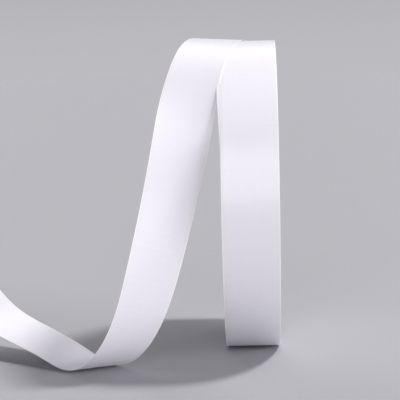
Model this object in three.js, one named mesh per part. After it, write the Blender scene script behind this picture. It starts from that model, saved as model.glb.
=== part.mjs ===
// Roll of white satin care label tape, standing on its rim, with its loose end hanging from the top.
// Millimetres, +Z up. The roll's axis runs along X and its tread faces -Y.
// The origin is the middle of the small flat spot that the roll stands on.
import * as THREE from 'three';

// the tape and the roll
const tapeWidth = 35;
const rollDiameter = 205;
const holeDiameter = 40;
const flatSpotLength = 24;
const rimBevel = 1.2;
const rollSegments = 144;

// the loose end, as a sheet
const sheetThickness = 1;
const sheetStep = 3.5;

// the last quarter turn, from behind the roll to its top: angles from the top, negative at the back
const backTurn = {
  firstAngle: -140,
  builtFrom: -110,
  lastAngle: -30,
  angleStep: 15,
  slipStart: -95, // where the turn starts to slip towards the left rim
  slipAtTop: 18, // how far it has slipped at the top of the roll
  headingAtTop: 12, // degrees off the roll's own direction at the top
  liftAtStart: 0.9, // middle of the sheet above the tread
  liftAtTop: 1.5,
};

// the free part: middle of the tape, and which way its width points.
// turn: degrees about Z, 0 when the width lies along X. tip: degrees that the left edge is raised.
const freePart = [
  { place: 'crest', x: -19, y: 5, z: 206.3, turn: -14, tip: 3.5 },
  { place: 'leaves the rim', x: -27.5, y: -31.7, z: 200, turn: -11, tip: 2 },
  { place: 'shoulder', x: -36, y: -70.5, z: 174, turn: -10, tip: 3 },
  { place: 'starts to twist', x: -41, y: -88.5, z: 145, turn: 9, tip: 12.5 },
  { place: 'upper fall', x: -49, y: -97, z: 107, turn: 22, tip: 15 },
  { place: 'lower fall', x: -60, y: -103, z: 63, turn: 30, tip: 15 },
  { place: 'knee', x: -71.5, y: -101.5, z: 30.2, turn: 39, tip: 14 },
  { place: 'turns under', x: -87, y: -91, z: 8.3, turn: 44, tip: 9 },
  { place: 'on the floor', x: -101, y: -78, z: 1.4, turn: 45, tip: 3 },
  { place: 'lifts off', x: -122, y: -58, z: 6.2, turn: 47, tip: -2 },
  { place: 'tail', x: -152.5, y: -30.5, z: 15.5, turn: 46, tip: -5 },
  { place: 'tail twists', x: -181, y: -3.5, z: 26, turn: 42, tip: -9 },
  { place: 'cut end', x: -202, y: 14.5, z: 41, turn: 35, tip: -26 },
];

const rollRadius = rollDiameter / 2;
const axisHeight = Math.sqrt(rollRadius ** 2 - (flatSpotLength / 2) ** 2);

const satin = (name, colour, roughness) =>
  new THREE.MeshStandardMaterial({ name, color: colour, roughness, metalness: 0 });

// joins rings of equal point counts into one closed skin; closed: the last ring meets the first
function skinFromRings(rings, closed) {
  const count = rings[0].length;
  const positions = rings.flat().flatMap((point) => [point.x, point.y, point.z]);
  const faces = [];
  const bands = closed ? rings.length : rings.length - 1;
  for (let band = 0; band < bands; band++) {
    const here = band * count;
    const next = ((band + 1) % rings.length) * count;
    for (let side = 0; side < count; side++) {
      const after = (side + 1) % count;
      faces.push(here + side, here + after, next + after, here + side, next + after, next + side);
    }
  }
  if (!closed) {
    const last = (rings.length - 1) * count;
    for (let side = 1; side < count - 1; side++) {
      faces.push(0, side + 1, side, last, last + side, last + side + 1);
    }
  }
  const geometry = new THREE.BufferGeometry();
  geometry.setAttribute('position', new THREE.Float32BufferAttribute(positions, 3));
  geometry.setIndex(faces);
  geometry.computeVertexNormals();
  return geometry;
}

// wound tape: its section goes round the axis, and what would reach below the floor is pressed flat
function makeRoll() {
  const half = tapeWidth / 2;
  const section = [
    { across: half, radius: holeDiameter / 2 },
    { across: half, radius: rollRadius - rimBevel },
    { across: half - rimBevel, radius: rollRadius },
    { across: rimBevel - half, radius: rollRadius },
    { across: -half, radius: rollRadius - rimBevel },
    { across: -half, radius: holeDiameter / 2 },
  ];
  const rings = Array.from({ length: rollSegments }, (_, segment) => {
    const angle = (2 * Math.PI * segment) / rollSegments;
    return section.map(({ across, radius }) => {
      const height = axisHeight - radius * Math.cos(angle);
      return new THREE.Vector3(across, radius * Math.sin(angle), Math.max(height, 0));
    });
  });
  return skinFromRings(rings, true);
}

// width direction of the tape, from right to left, for a turn and a tip in degrees
function widthDirection(turn, tip) {
  const flat = Math.cos(THREE.MathUtils.degToRad(tip));
  const turned = THREE.MathUtils.degToRad(turn);
  return new THREE.Vector3(
    -Math.cos(turned) * flat,
    -Math.sin(turned) * flat,
    Math.sin(THREE.MathUtils.degToRad(tip)),
  );
}

// the turn still on the roll: it climbs the back and slips left as the square of the way gone
function backRows() {
  const rows = [];
  for (let angle = backTurn.firstAngle; angle <= backTurn.lastAngle; angle += backTurn.angleStep) {
    const slipped = Math.max(0, 1 - angle / backTurn.slipStart);
    const heading = THREE.MathUtils.degToRad(backTurn.headingAtTop * slipped);
    const lift = THREE.MathUtils.lerp(backTurn.liftAtStart, backTurn.liftAtTop, slipped);
    const radians = THREE.MathUtils.degToRad(angle);
    const radius = rollRadius + lift;
    const forward = new THREE.Vector3(0, -Math.cos(radians), -Math.sin(radians));
    const width = new THREE.Vector3(-Math.cos(heading), 0, 0).addScaledVector(forward, -Math.sin(heading));
    rows.push({
      angle,
      middle: new THREE.Vector3(
        -backTurn.slipAtTop * slipped ** 2,
        -radius * Math.sin(radians),
        axisHeight + radius * Math.cos(radians),
      ),
      width,
    });
  }
  return rows;
}

// second derivatives of the natural cubic spline through values at the given stations
function splineBends(stations, values) {
  const last = stations.length - 1;
  const bends = new Array(last + 1).fill(0);
  const carried = new Array(last + 1).fill(0);
  for (let k = 1; k < last; k++) {
    const before = stations[k] - stations[k - 1];
    const after = stations[k + 1] - stations[k];
    const share = before / (before + after);
    const pivot = share * bends[k - 1] + 2;
    const kink = (values[k + 1] - values[k]) / after - (values[k] - values[k - 1]) / before;
    bends[k] = (share - 1) / pivot;
    carried[k] = ((6 * kink) / (before + after) - share * carried[k - 1]) / pivot;
  }
  for (let k = last - 1; k >= 0; k--) bends[k] = bends[k] * bends[k + 1] + carried[k];
  return bends;
}

// a smooth function of the distance along the tape through one value per row
function splineThrough(stations, values) {
  const bends = splineBends(stations, values);
  return (along) => {
    let k = 1;
    while (k < stations.length - 1 && stations[k] < along) k++;
    const span = stations[k] - stations[k - 1];
    const before = (stations[k] - along) / span;
    const after = 1 - before;
    const bend = (before ** 3 - before) * bends[k - 1] + (after ** 3 - after) * bends[k];
    return before * values[k - 1] + after * values[k] + (bend * span ** 2) / 6;
  };
}

// loose end: a flat strip whose middle line and width direction follow one spline over all rows
function makeLooseEnd() {
  const wound = backRows();
  const free = freePart.map((row) => ({
    middle: new THREE.Vector3(row.x, row.y, row.z),
    width: widthDirection(row.turn, row.tip),
  }));
  const rows = [...wound, ...free];
  const stations = [0];
  for (let k = 1; k < rows.length; k++) {
    stations.push(stations[k - 1] + rows[k].middle.distanceTo(rows[k - 1].middle));
  }
  const track = (pick) => splineThrough(stations, rows.map(pick));
  const middle = ['x', 'y', 'z'].map((axis) => track((row) => row.middle[axis]));
  const width = ['x', 'y', 'z'].map((axis) => track((row) => row.width[axis]));
  const at = (tracks, along) => new THREE.Vector3(...tracks.map((value) => value(along)));

  const start = stations[wound.findIndex((row) => row.angle >= backTurn.builtFrom)];
  const length = stations.at(-1) - start;
  const steps = Math.round(length / sheetStep);
  const nudge = 0.5;
  const rings = [];
  for (let step = 0; step <= steps; step++) {
    const along = start + (length * step) / steps;
    const centre = at(middle, along);
    const travel = at(middle, along + nudge).sub(at(middle, along - nudge)).normalize();
    const across = at(width, along);
    across.addScaledVector(travel, -across.dot(travel)).normalize();
    const outward = new THREE.Vector3().crossVectors(across, travel);
    const corner = (side, level) => {
      const point = centre.clone();
      point.addScaledVector(across, (side * tapeWidth) / 2);
      point.addScaledVector(outward, (level * sheetThickness) / 2);
      point.z = Math.max(point.z, 0); // pressed flat where it lies on the floor
      return point;
    };
    rings.push([corner(1, -1), corner(-1, -1), corner(-1, 1), corner(1, 1)]);
  }
  return skinFromRings(rings, false);
}

const part = new THREE.Group();

const roll = new THREE.Mesh(makeRoll(), satin('wound tape', 0xe9e6f0, 0.5));
roll.name = 'wound_roll';
part.add(roll);

const looseEnd = new THREE.Mesh(makeLooseEnd(), satin('tape face', 0xf0eef6, 0.45));
looseEnd.name = 'loose_end';
part.add(looseEnd);

export default part;
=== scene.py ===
import math

import bpy
import numpy as np
from mathutils import Matrix, Vector


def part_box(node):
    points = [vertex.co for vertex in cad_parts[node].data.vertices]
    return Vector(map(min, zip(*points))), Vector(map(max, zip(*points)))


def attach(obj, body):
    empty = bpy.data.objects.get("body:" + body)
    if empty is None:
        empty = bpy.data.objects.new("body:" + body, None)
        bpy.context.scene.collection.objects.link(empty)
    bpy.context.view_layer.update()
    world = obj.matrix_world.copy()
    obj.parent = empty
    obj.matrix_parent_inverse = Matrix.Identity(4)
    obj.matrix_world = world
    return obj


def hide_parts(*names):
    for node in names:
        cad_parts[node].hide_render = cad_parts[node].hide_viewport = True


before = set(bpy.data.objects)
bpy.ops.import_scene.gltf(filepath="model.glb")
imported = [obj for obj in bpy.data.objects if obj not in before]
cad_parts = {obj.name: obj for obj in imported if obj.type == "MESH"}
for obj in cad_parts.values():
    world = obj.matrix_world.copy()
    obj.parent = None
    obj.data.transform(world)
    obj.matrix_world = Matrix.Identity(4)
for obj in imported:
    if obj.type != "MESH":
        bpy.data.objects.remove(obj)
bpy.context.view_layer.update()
print("packed roll loaded")

# Everything is worked out in millimetres and goes into the meshes in metres.
mm = 0.001
sharpFrom = 50  # degrees between two faces that make an edge sharp

rollLow, rollHigh = (np.array(corner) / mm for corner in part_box("wound_roll"))
tapeWidth = rollHigh[0] - rollLow[0]
rollRadius = (rollHigh[1] - rollLow[1]) / 2
axisHeight = rollHigh[2] - rollRadius

flatSpot = {
    "pressedBy": rollRadius - axisHeight,  # what it takes off the roll's height
    "pressDecay": 6,  # mm of depth over which the press dies away
}


# natural cubic spline: the second slopes at the stations solve a three-banded system, and between two
# stations the value is the straight line plus the cubic that has those second slopes
def smoothThrough(stations, rows, along):
    gaps = np.diff(stations)
    inner = np.arange(1, len(stations) - 1)
    banded = np.eye(len(stations))
    banded[inner, inner - 1] = gaps[:-1]
    banded[inner, inner] = 2 * (gaps[:-1] + gaps[1:])
    banded[inner, inner + 1] = gaps[1:]
    right = np.zeros_like(rows)
    right[1:-1] = 6 * np.diff(np.diff(rows, axis=0) / gaps[:, None], axis=0)
    bends = np.linalg.solve(banded, right)
    k = np.clip(np.searchsorted(stations, along), 1, len(stations) - 1)
    gap = gaps[k - 1][:, None]
    before = (stations[k] - along)[:, None] / gap
    after = 1 - before
    bent = (before**3 - before) * bends[k - 1] + (after**3 - after) * bends[k]
    return before * rows[k - 1] + after * rows[k] + bent * gap**2 / 6


def unit(vectors):  # each vector divided by its length
    return vectors / np.linalg.norm(vectors, axis=-1, keepdims=True)


# a point at depth d under the tread is not let below d less the press that the tape under it has taken up:
# the whole press times one minus the exponential of minus d over the decay
def pressOnFloor(points):
    reach = np.hypot(points[..., 1], points[..., 2] - axisHeight)
    depth = np.maximum(rollRadius - reach, 0)
    level = depth - flatSpot["pressedBy"] * (1 - np.exp(-depth / flatSpot["pressDecay"]))
    below = points[..., 2] < axisHeight
    points[..., 2] = np.where(below, np.maximum(points[..., 2], level), points[..., 2])
    return points


# one mesh from a grid of points in mm: rows run along the piece, columns go once round its section, and the
# rows either close on the first or end in flat caps
def makeSkin(name, grid, closed, attributes, material):
    rows, columns = grid.shape[:2]
    index = np.arange(rows * columns).reshape(rows, columns)
    across = np.roll(index, -1, axis=1)
    if closed:
        here, there = index, np.roll(index, -1, axis=0)
        hereNext, thereNext = across, np.roll(across, -1, axis=0)
    else:
        here, there, hereNext, thereNext = index[:-1], index[1:], across[:-1], across[1:]
    quads = np.stack([here, hereNext, thereNext, there], axis=-1).reshape(-1, 4).tolist()
    if not closed:
        # an end cap is a row of quads between the outer and the inner points of the section
        half = columns // 2
        near = np.arange(half - 1)
        for row, turned in ((0, False), (rows - 1, True)):
            cap = np.stack([near, columns - 1 - near, columns - 2 - near, near + 1], axis=-1)
            cap = index[row][cap]
            quads += (cap[:, ::-1] if turned else cap).tolist()
    mesh = bpy.data.meshes.new(name)
    mesh.from_pydata((grid.reshape(-1, 3) * mm).tolist(), [], quads)
    for key, values in attributes.items():
        layer = mesh.attributes.new(key, "FLOAT", "POINT")
        values = np.broadcast_to(values, (rows, columns)).astype(np.float32)
        layer.data.foreach_set("value", values.ravel())
    mesh.shade_smooth()
    mesh.set_sharp_from_angle(angle=math.radians(sharpFrom))
    mesh.update()
    piece = bpy.data.objects.new(name, mesh)
    bpy.context.scene.collection.objects.link(piece)
    mesh.materials.append(material)
    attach(piece, "root")
    return piece


tape = {
    "thick": 0.16,
    "turnPitch": 0.2,  # from one turn to the next
    "pointsAcross": 27,
    "edgeCurl": 0.09,  # how far the slit edges bend towards the roll's axis
    "curlWidth": 1.2,
}

# The turns on the roll that are whole tape. The two under the last one creep left near the top of the front.
woundTurns = {
    "turns": 5,
    "step": 3,  # mm along the tape
    "wander": 0.2,  # mm to either side
    "waveTurn": 0.83,  # waves a turn
    "waveFade": 90,  # degrees over which the wave dies away before the loose end
    "creep": 2.4,
    "creepAngle": -678,  # degrees from the top of the roll, negative behind it
    "creepWidth": 20,
    "creepingTurns": 2,
    "creepKept": 0.4,  # each turn creeps this share of the one above it
}

# The loose end: it slips left as it climbs the back of the roll, then follows the free rows.
looseEnd = {
    "leadIn": -140,
    "start": -110,
    "stop": -35,
    "angleStep": 15,
    "slipStart": -95,
    "slipAtTop": 18,
    "headingAtTop": 12,
    "liftAtTop": 0.45,
    "step": 2,
    "freeRows": [
        # x, y, z in mm, turn of the width about Z, tip of the left edge, in degrees
        (-19, 5, 205.7, -13.8, 3.4),
        (-27.5, -31.5, 199.05, -11.3, 2.2),
        (-35.9, -70, 173.5, -10, 3.1),
        (-41, -88.5, 144.7, 9, 12.6),
        (-49, -97, 107, 22, 15),
        (-60, -103, 63, 30, 15),
        (-71.5, -101.5, 30.2, 39, 14),
        (-87, -91, 8.3, 44, 9),
        (-101, -78, 1.2, 45, 3),
        (-122, -58, 6.2, 47, -2),
        (-152.5, -30.5, 15.5, 46, -5),
        (-181, -3.5, 26, 42, -9),
        (-202, 14.5, 41, 35, -26),
    ],
}


# sideways place of the wound tape: a slow wave that dies away at the loose end, less a bell-shaped creep at
# one place of each creeping turn, the outermost creeping furthest
def woundSideways(angle):
    fade = np.clip((looseEnd["start"] - angle) / woundTurns["waveFade"], 0, 1)
    wave = woundTurns["wander"] * np.sin(np.radians(angle) * woundTurns["waveTurn"]) * fade
    turn = np.arange(woundTurns["creepingTurns"])
    off = (angle[:, None] - woundTurns["creepAngle"] + 360 * turn) / woundTurns["creepWidth"]
    return wave - woundTurns["creep"] * (np.exp(-(off**2)) * woundTurns["creepKept"] ** turn).sum(axis=1)


# the tape's middle at an angle from the top of the roll: the radius grows by one pitch a turn, and the lift
# is added to it
def onRoll(angle, sideways, lift):
    radius = rollRadius - tape["thick"] / 2 + tape["turnPitch"] * (angle - looseEnd["start"]) / 360 + lift
    radians = np.radians(angle)
    return np.stack([sideways, -radius * np.sin(radians), axisHeight + radius * np.cos(radians)], axis=-1)


# middle and width direction of the turns below the loose end, at even steps of angle
def woundPath():
    first = looseEnd["start"] - 360 * woundTurns["turns"]
    count = round(np.radians(looseEnd["start"] - first) * rollRadius / woundTurns["step"])
    angle = np.linspace(first, looseEnd["start"], count)
    return onRoll(angle, woundSideways(angle), 0), np.tile([-1.0, 0, 0], (count, 1))


# middle and width direction of the loose end: on the roll it slips left as the square of the way gone since
# the slip began, and turns and lifts with it; one spline goes through those rows and the free ones
def loosePath():
    angle = np.arange(looseEnd["leadIn"], looseEnd["stop"] + 1, looseEnd["angleStep"], dtype=float)
    slipped = np.maximum(0, 1 - angle / looseEnd["slipStart"])
    heading = np.radians(looseEnd["headingAtTop"]) * slipped
    radians, flat = np.radians(angle), np.zeros_like(angle)
    onTurn = onRoll(angle, -looseEnd["slipAtTop"] * slipped**2, looseEnd["liftAtTop"] * slipped)
    forward = np.stack([flat, -np.cos(radians), -np.sin(radians)], axis=-1)
    turnWidth = np.stack([-np.cos(heading), flat, flat], axis=-1)
    turnWidth = turnWidth - forward * np.sin(heading)[:, None]
    free = np.array(looseEnd["freeRows"], float)
    turned, tipped = np.radians(free[:, 3]), np.radians(free[:, 4])
    freeWidth = [-np.cos(turned) * np.cos(tipped), -np.sin(turned) * np.cos(tipped), np.sin(tipped)]
    middle = np.vstack([onTurn, free[:, :3]])
    rows = np.hstack([middle, np.vstack([turnWidth, np.stack(freeWidth, axis=-1)])])
    stations = np.concatenate([[0], np.cumsum(np.linalg.norm(np.diff(middle, axis=0), axis=1))])
    begin = stations[np.argmin(abs(angle - looseEnd["start"]))]
    count = round((stations[-1] - begin) / looseEnd["step"])
    path = smoothThrough(stations, rows, np.linspace(begin, stations[-1], count))
    return path[:, :3], path[:, 3:]


# the tape's section carried along its path: out over the outer face from left to right and back under it,
# each point being middle + place across times the width direction + level times the outward direction; the
# places follow a sine, so they lie closest near the edges, and the level falls by the square of the way into
# the curled edge
def tapeGrid(middle, width):
    travel = unit(np.gradient(middle, axis=0))
    width = unit(width - travel * np.sum(width * travel, axis=1, keepdims=True))
    outward = np.cross(width, travel)
    across = np.sin(np.linspace(np.pi / 2, -np.pi / 2, tape["pointsAcross"])) * tapeWidth / 2
    intoEdge = np.maximum(0, abs(across) - tapeWidth / 2 + tape["curlWidth"]) / tape["curlWidth"]
    level = -tape["edgeCurl"] * intoEdge**2
    level = np.concatenate([level + tape["thick"] / 2, level[::-1] - tape["thick"] / 2])
    across = np.concatenate([across, across[::-1]])
    grid = middle[:, None] + width[:, None] * across[:, None] + outward[:, None] * level[:, None]
    grid = pressOnFloor(grid)
    grid[..., 2] = np.maximum(grid[..., 2], 0)
    return grid, across


# both tape pieces share the ring where the loose end starts, so the tape goes on without a step
def makeTape(material):
    woundMiddle, woundWidth = woundPath()
    looseMiddle, looseWidth = loosePath()
    middle = np.vstack([woundMiddle[:-1], looseMiddle])
    grid, across = tapeGrid(middle, np.vstack([woundWidth[:-1], looseWidth]))
    along = np.concatenate([[0], np.cumsum(np.linalg.norm(np.diff(middle, axis=0), axis=1))])
    joint = len(woundMiddle) - 1
    pieces = []
    for name, part in (("woundTape", slice(0, joint + 1)), ("looseEnd", slice(joint, None))):
        marks = {"along": along[part, None], "across": across}
        pieces.append((makeSkin(name, grid[part], False, marks, material), np.ptp(along[part])))
    return pieces


# The turns that show only by their slit edges. Each lies a little inside the widest one.
innerTurns = {
    "holeRadius": 20,
    "ringsOnSide": 300,
    "angles": 150,
    "seed": 5,
    "insideTape": 0.15,
    "jitter": 0.05,
    "wander": 0.45,
    "wanderTurns": 14,
    "sway": 0.1,  # how far a ring leans inwards on one side of the roll, in mm
    "swayRadius": 9,  # mm of radius over which the lean turns by one radian
    "turnsClear": 0.6,  # gap under the whole tape, in turns
    "acrossTread": 9,  # points across the tread and the hole's wall, ends included
}


# how far each turn's edge lies inside the widest: the running mean of random numbers, brought to between 0
# and the wander, plus a small jitter from turn to turn
def edgeInset(count, seed):
    draw = np.random.default_rng(seed)
    window = np.hanning(2 * innerTurns["wanderTurns"] + 1)
    slow = np.convolve(draw.normal(size=count + len(window) - 1), window, "valid")
    slow = (slow - slow.min()) / np.ptp(slow)
    return innerTurns["wander"] * slow + innerTurns["jitter"] * draw.random(count)


# the wound body is its section turned about the axis: up the right side turn by turn, over the tread, down
# the left side and across the hole, each ring of the sides leaning inwards by a slow wave round the roll
def makeInnerTurns(material):
    count = innerTurns["ringsOnSide"]
    outside = rollRadius - tape["turnPitch"] * (woundTurns["turns"] + innerTurns["turnsClear"])
    radii = np.linspace(innerTurns["holeRadius"], outside, count)
    curled = tape["edgeCurl"] * np.clip((radii - outside) / tape["curlWidth"] + 1, 0, 1) ** 2
    half = tapeWidth / 2 - innerTurns["insideTape"]
    rightX = half - edgeInset(count, innerTurns["seed"])
    leftX = edgeInset(count, innerTurns["seed"] + 1) - half
    treadX = np.linspace(rightX[-1], leftX[-1], innerTurns["acrossTread"])[1:-1]
    holeX = np.linspace(leftX[0], rightX[0], innerTurns["acrossTread"])[1:-1]
    sectionX = np.concatenate([rightX, treadX, leftX[::-1], holeX])
    sideR, treadR = radii - curled, np.full(len(treadX), outside)
    sectionR = np.concatenate([sideR, treadR, sideR[::-1], np.full(len(holeX), radii[0])])
    onSide = np.zeros(len(sectionX))
    onSide[:count] = 1
    onSide[count + len(treadX) : 2 * count + len(treadX)] = 1
    angle = np.linspace(0, 2 * np.pi, innerTurns["angles"], endpoint=False)[:, None]
    lean = (1 + np.sin(angle + sectionR / innerTurns["swayRadius"])) / 2
    sway = -innerTurns["sway"] * np.sign(sectionX) * onSide * lean
    grid = np.stack(
        [sectionX + sway, sectionR * np.sin(angle), axisHeight - sectionR * np.cos(angle)], axis=-1
    )
    return makeSkin("innerTurns", pressOnFloor(grid), True, {}, material)


# two short functions that add a shader node with its settings and link two sockets, in a material or a world
def nodeMaker(owner):
    owner.use_nodes = True
    tree = owner.node_tree
    tree.nodes.clear()

    def add(kind, **settings):
        node = tree.nodes.new(kind)
        for key, value in settings.items():
            setattr(node, key, value)
        return node

    def link(source, target):
        tree.links.new(source, target)

    return add, link


satin = {
    "roughness": 0.3,
    "specular": 0.8,
    "sheen": 0.25,
    "sheenRoughness": 0.35,
    "bands": [
        # mm from the slit edge, colour there: a painted highlight at the edge, painted shade just inside
        (0, (0.91, 0.9, 0.915, 1)),
        (0.5, (0.91, 0.9, 0.915, 1)),
        (0.8, (0.82, 0.803, 0.825, 1)),
        (1.5, (0.82, 0.803, 0.83, 1)),
        (2.2, (0.83, 0.812, 0.856, 1)),
        (8, (0.825, 0.81, 0.865, 1)),
    ],
    "streaks": 0.012,  # share of the light that the warp streaks take away, and so the weft bars
    "bars": 0.022,
    "streakScale": (0.8, 0.015, 1),  # noise cycles a mm: across, along
    "streakDetail": 2,
    "barScale": 0.5,
    "barDetail": 3,
    "barRoughness": 0.7,
    "noiseSpread": (0.3, 0.7),  # the noise values taken as darkest and brightest
    "ribPitch": 0.42,
    "ribShare": 0.3,  # height of the ribs beside the streaks and bars
    "ribDepth": 0.007,
    "bumpStrength": 0.35,
}


# satin face: its colour goes by the distance from the slit edge, with a painted highlight along the edge and
# painted shade just inside it, and is dimmed a little by long thin warp streaks down the tape and by uneven
# weft bars across it
def satinMaterial():
    material = bpy.data.materials.new("satinTapeFace")
    add, link = nodeMaker(material)
    out = add("ShaderNodeOutputMaterial")
    shader = add("ShaderNodeBsdfPrincipled")
    shader.inputs["Roughness"].default_value = satin["roughness"]
    shader.inputs["Sheen Weight"].default_value = satin["sheen"]
    shader.inputs["Sheen Roughness"].default_value = satin["sheenRoughness"]
    shader.inputs["Specular IOR Level"].default_value = satin["specular"]
    link(shader.outputs["BSDF"], out.inputs["Surface"])
    along = add("ShaderNodeAttribute", attribute_name="along")
    across = add("ShaderNodeAttribute", attribute_name="across")

    aside = add("ShaderNodeMath", operation="ABSOLUTE")
    link(across.outputs["Fac"], aside.inputs[0])
    inward = add("ShaderNodeMapRange")
    widest = satin["bands"][-1][0]
    inward.inputs["From Min"].default_value = tapeWidth / 2
    inward.inputs["From Max"].default_value = tapeWidth / 2 - widest
    link(aside.outputs["Value"], inward.inputs["Value"])
    # the pale band at the slit edge is a painted highlight, the beige band just inside it painted shade
    bands = add("ShaderNodeValToRGB")
    stops = bands.color_ramp.elements
    for number, (inside, colour) in enumerate(satin["bands"]):
        stop = stops[number] if number < 2 else stops.new(inside / widest)
        stop.position = inside / widest
        stop.color = colour
    link(inward.outputs["Result"], bands.inputs["Fac"])

    place = add("ShaderNodeCombineXYZ")
    link(across.outputs["Fac"], place.inputs["X"])
    link(along.outputs["Fac"], place.inputs["Y"])
    stretch = add("ShaderNodeMapping")
    stretch.inputs["Scale"].default_value = satin["streakScale"]
    link(place.outputs["Vector"], stretch.inputs["Vector"])
    streak = add("ShaderNodeTexNoise")
    streak.inputs["Scale"].default_value = 1
    streak.inputs["Detail"].default_value = satin["streakDetail"]
    link(stretch.outputs["Vector"], streak.inputs["Vector"])
    bar = add("ShaderNodeTexNoise", noise_dimensions="1D")
    bar.inputs["Scale"].default_value = satin["barScale"]
    bar.inputs["Detail"].default_value = satin["barDetail"]
    bar.inputs["Roughness"].default_value = satin["barRoughness"]
    link(along.outputs["Fac"], bar.inputs["W"])
    colour = bands.outputs["Color"]
    darkest, brightest = satin["noiseSpread"]
    for noise, taken in ((streak, satin["streaks"]), (bar, satin["bars"])):
        kept = add("ShaderNodeMapRange")
        kept.inputs["From Min"].default_value = darkest
        kept.inputs["From Max"].default_value = brightest
        kept.inputs["To Min"].default_value = 1 - taken
        link(noise.outputs["Fac"], kept.inputs["Value"])
        dimmed = add("ShaderNodeVectorMath", operation="MULTIPLY")
        link(colour, dimmed.inputs[0])
        link(kept.outputs["Result"], dimmed.inputs[1])
        colour = dimmed.outputs["Vector"]
    link(colour, shader.inputs["Base Color"])

    # weft ribs across the tape, with the streaks and bars again as faint ridges
    rib = add("ShaderNodeMath", operation="MULTIPLY")
    rib.inputs[1].default_value = 2 * math.pi / satin["ribPitch"]
    link(along.outputs["Fac"], rib.inputs[0])
    wave = add("ShaderNodeMath", operation="SINE")
    link(rib.outputs["Value"], wave.inputs[0])
    ridges = add("ShaderNodeMath", operation="ADD")
    link(streak.outputs["Fac"], ridges.inputs[0])
    link(bar.outputs["Fac"], ridges.inputs[1])
    height = add("ShaderNodeMath", operation="MULTIPLY_ADD")
    height.inputs[1].default_value = satin["ribShare"]
    link(wave.outputs["Value"], height.inputs[0])
    link(ridges.outputs["Value"], height.inputs[2])
    bump = add("ShaderNodeBump")
    bump.inputs["Strength"].default_value = satin["bumpStrength"]
    bump.inputs["Distance"].default_value = satin["ribDepth"] * mm
    link(height.outputs["Value"], bump.inputs["Height"])
    link(bump.outputs["Normal"], shader.inputs["Normal"])
    return material


winding = {
    "colour": (0.68, 0.67, 0.70, 1),
    "darkest": 0.7,  # share of that colour in the painted shade between the turns
    "roughness": 0.6,
    "sheen": 0.15,
    "ringScale": 2600,  # noise cycles a metre of radius
    "ringDetail": 4,
    "ringRoughness": 0.7,
    "noiseSpread": (0.3, 0.65),
    "ringDepth": 0.1,
    "bumpStrength": 0.4,
}


# side faces: rings that go by the distance from the roll's axis, paler and darker from turn to turn, the
# darker ones painted shade in the gaps between the turns
def windingMaterial():
    material = bpy.data.materials.new("woundTapeEdges")
    add, link = nodeMaker(material)
    out = add("ShaderNodeOutputMaterial")
    shader = add("ShaderNodeBsdfPrincipled")
    shader.inputs["Roughness"].default_value = winding["roughness"]
    shader.inputs["Sheen Weight"].default_value = winding["sheen"]
    link(shader.outputs["BSDF"], out.inputs["Surface"])
    place = add("ShaderNodeTexCoord")
    centred = add("ShaderNodeMapping")
    centred.inputs["Location"].default_value = (0, 0, -axisHeight * mm)
    link(place.outputs["Object"], centred.inputs["Vector"])
    flat = add("ShaderNodeVectorMath", operation="MULTIPLY")
    flat.inputs[1].default_value = (0, 1, 1)  # leaves out the place along the roll's axis
    link(centred.outputs["Vector"], flat.inputs[0])
    radius = add("ShaderNodeVectorMath", operation="LENGTH")
    link(flat.outputs["Vector"], radius.inputs[0])
    rings = add("ShaderNodeTexNoise", noise_dimensions="1D")
    rings.inputs["Scale"].default_value = winding["ringScale"]
    rings.inputs["Detail"].default_value = winding["ringDetail"]
    rings.inputs["Roughness"].default_value = winding["ringRoughness"]
    link(radius.outputs["Value"], rings.inputs["W"])
    # the darker rings are painted shade in the gaps between the turns
    tint = add("ShaderNodeMix", data_type="RGBA")
    base = winding["colour"]
    tint.inputs["A"].default_value = tuple(c * winding["darkest"] for c in base[:3]) + (1,)
    tint.inputs["B"].default_value = base
    spread = add("ShaderNodeMapRange")
    darkest, brightest = winding["noiseSpread"]
    spread.inputs["From Min"].default_value = darkest
    spread.inputs["From Max"].default_value = brightest
    link(rings.outputs["Fac"], spread.inputs["Value"])
    link(spread.outputs["Result"], tint.inputs["Factor"])
    link(tint.outputs["Result"], shader.inputs["Base Color"])
    bump = add("ShaderNodeBump")
    bump.inputs["Strength"].default_value = winding["bumpStrength"]
    bump.inputs["Distance"].default_value = winding["ringDepth"] * mm
    link(rings.outputs["Fac"], bump.inputs["Height"])
    link(bump.outputs["Normal"], shader.inputs["Normal"])
    return material


photoCamera = {
    "place": (1.9, -872.2, 184.0),
    "yawLeft": 2.385,  # degrees
    "pitchDown": 5.643,
    "roll": -1.273,
    "lens": 116.4,  # mm, as is the width of the film
    "filmWidth": 36,
    "clip": (0.01, 200),  # metres
}


# the camera is turned about its own axis, pitched down from level, turned left and then set in its place
def makeCamera():
    data = bpy.data.cameras.new("photoCamera")
    data.lens = photoCamera["lens"]
    data.sensor_width = photoCamera["filmWidth"]
    data.clip_start, data.clip_end = photoCamera["clip"]
    camera = bpy.data.objects.new("photoCamera", data)
    camera.matrix_world = (
        Matrix.Translation([value * mm for value in photoCamera["place"]])
        @ Matrix.Rotation(math.radians(photoCamera["yawLeft"]), 4, "Z")
        @ Matrix.Rotation(math.radians(90 - photoCamera["pitchDown"]), 4, "X")
        @ Matrix.Rotation(math.radians(photoCamera["roll"]), 4, "Z")
    )
    bpy.context.scene.collection.objects.link(camera)
    bpy.context.scene.camera = camera


# Soft boxes, far enough away to light floor and roll evenly: azimuth from the photo's near side towards its
# right and elevation in degrees, width as an angle, strength in W/m2, colour.
white = (1, 1, 1)
lavender = (0.98, 0.966, 1)
softBoxes = {
    "keyRight": (110, 60, 10, 2.45, white),
    "frontRight": (60, 15, 20, 0.82, lavender),
    "lowRight": (80, 15, 20, 0.92, lavender),
    "frontLow": (0, 18, 40, 1.16, lavender),
    "frontLeft": (-60, 15, 40, 0.42, lavender),
    "backRight": (150, 40, 45, 0.6, lavender),
    "backLeft": (-150, 40, 45, 0.52, lavender),
}


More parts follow.
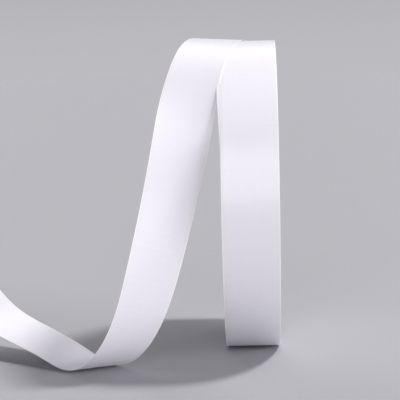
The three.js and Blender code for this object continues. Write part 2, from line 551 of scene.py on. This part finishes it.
# a far soft box shines from the direction (sin az cos el, -cos az cos el, sin el)
def makeSoftBox(name, azimuth, elevation, width, strength, colour):
    azimuth, elevation = math.radians(azimuth), math.radians(elevation)
    flat = math.cos(elevation)
    toward = Vector((math.sin(azimuth) * flat, -math.cos(azimuth) * flat, math.sin(elevation)))
    data = bpy.data.lights.new(name, "SUN")
    data.angle = math.radians(width)
    data.energy = strength
    data.color = colour
    light = bpy.data.objects.new(name, data)
    aim = toward.to_track_quat("Z", "Y").to_matrix().to_4x4()
    light.matrix_world = Matrix.Translation(toward) @ aim
    bpy.context.scene.collection.objects.link(light)


studio = {
    "floorColour": (0.37, 0.37, 0.388, 1),
    "floorRoughness": 0.6,
    "floorHalfSide": 60,  # metres
    "floorLevel": -0.0002,  # just under what rests on it
    "horizonColour": (0.505, 0.50, 0.525, 1),
    "zenithColour": (0.07, 0.068, 0.082, 1),
    "fadeElevation": 0.3,  # height on the unit sphere where the horizon colour ends
}


# the backdrop is a function of direction alone: pale at the horizon, fading to grey overhead
def makeBackdrop():
    world = bpy.data.worlds.new("paleBackdrop")
    add, link = nodeMaker(world)
    out = add("ShaderNodeOutputWorld")
    background = add("ShaderNodeBackground")
    link(background.outputs["Background"], out.inputs["Surface"])
    direction = add("ShaderNodeTexCoord")
    split = add("ShaderNodeSeparateXYZ")
    link(direction.outputs["Generated"], split.inputs["Vector"])
    height = add("ShaderNodeMapRange", interpolation_type="SMOOTHSTEP")
    height.inputs["From Max"].default_value = studio["fadeElevation"]
    link(split.outputs["Z"], height.inputs["Value"])
    fade = add("ShaderNodeMix", data_type="RGBA")
    fade.inputs["A"].default_value = studio["horizonColour"]
    fade.inputs["B"].default_value = studio["zenithColour"]
    link(height.outputs["Result"], fade.inputs["Factor"])
    link(fade.outputs["Result"], background.inputs["Color"])
    bpy.context.scene.world = world


# one level square
def makeFloor():
    side, level = studio["floorHalfSide"], studio["floorLevel"]
    mesh = bpy.data.meshes.new("paleFloor")
    corners = [(-side, -side, level), (side, -side, level), (side, side, level), (-side, side, level)]
    mesh.from_pydata(corners, [], [(0, 1, 2, 3)])
    floor = bpy.data.objects.new("paleFloor", mesh)
    bpy.context.scene.collection.objects.link(floor)
    material = bpy.data.materials.new("paleFloorPaint")
    add, link = nodeMaker(material)
    out = add("ShaderNodeOutputMaterial")
    shader = add("ShaderNodeBsdfPrincipled")
    shader.inputs["Base Color"].default_value = studio["floorColour"]
    shader.inputs["Roughness"].default_value = studio["floorRoughness"]
    link(shader.outputs["BSDF"], out.inputs["Surface"])
    mesh.materials.append(material)


# backdrop, floor and soft boxes, with plain colours in the render
def makeStudio():
    makeBackdrop()
    makeFloor()
    for name, settings in softBoxes.items():
        makeSoftBox(name, *settings)
    bpy.context.scene.view_settings.view_transform = "Standard"


makeCamera()
makeStudio()
print("camera, floor and lights placed")

tapeFace = satinMaterial()
tapeEdges = windingMaterial()

(wound, woundLength), (loose, looseLength) = makeTape(tapeFace)
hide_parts("loose_end")
print("tape made:", round(woundLength), "mm on the roll,", round(looseLength), "mm in the loose end")

inner = makeInnerTurns(tapeEdges)
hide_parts("wound_roll")
print("inner turns made")
